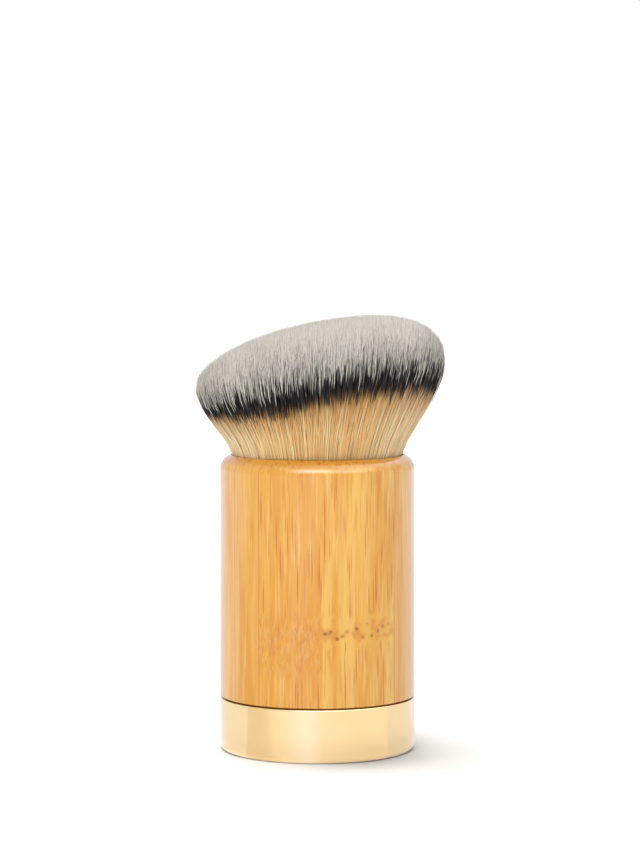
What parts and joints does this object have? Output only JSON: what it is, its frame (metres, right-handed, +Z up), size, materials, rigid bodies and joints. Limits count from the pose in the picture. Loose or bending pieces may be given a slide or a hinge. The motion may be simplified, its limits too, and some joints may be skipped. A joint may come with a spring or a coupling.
{
  "type": "angled powder brush",
  "caption": "Short round bamboo brush with a metal base cap and a dense, slanted, domed tuft of dyed filament.",
  "frame": {"origin": "centre of the flat foot of the base cap, on the handle's axis", "axes": "+Z runs up the handle's axis to the tuft, the tuft slants down towards -X and up towards +X, and the pictured front faces -Y"},
  "size_m": [0.0438, 0.0382, 0.078],
  "materials": {
    "bamboo": "clear lacquer over vertical bamboo grain",
    "gold_cap": "satin gold anodised",
    "glue": "cured clear epoxy film",
    "ferrule": "drawn, natural",
    "resin": "cast amber resin",
    "thread": "tight waxed thread",
    "filament": "fine synthetic filament, tan at the root, near black above, pale grey at the tip"
  },
  "bodies": {
    "root": {"bamboo_handle": "bamboo", "base_cap": "gold_cap", "base_adhesive": "glue", "ferrule_cup": "ferrule", "ferrule_adhesive": "glue", "resin_plug": "resin", "binding_thread": "thread", "bristle_tuft": "filament"}
  },
  "joints": []
}
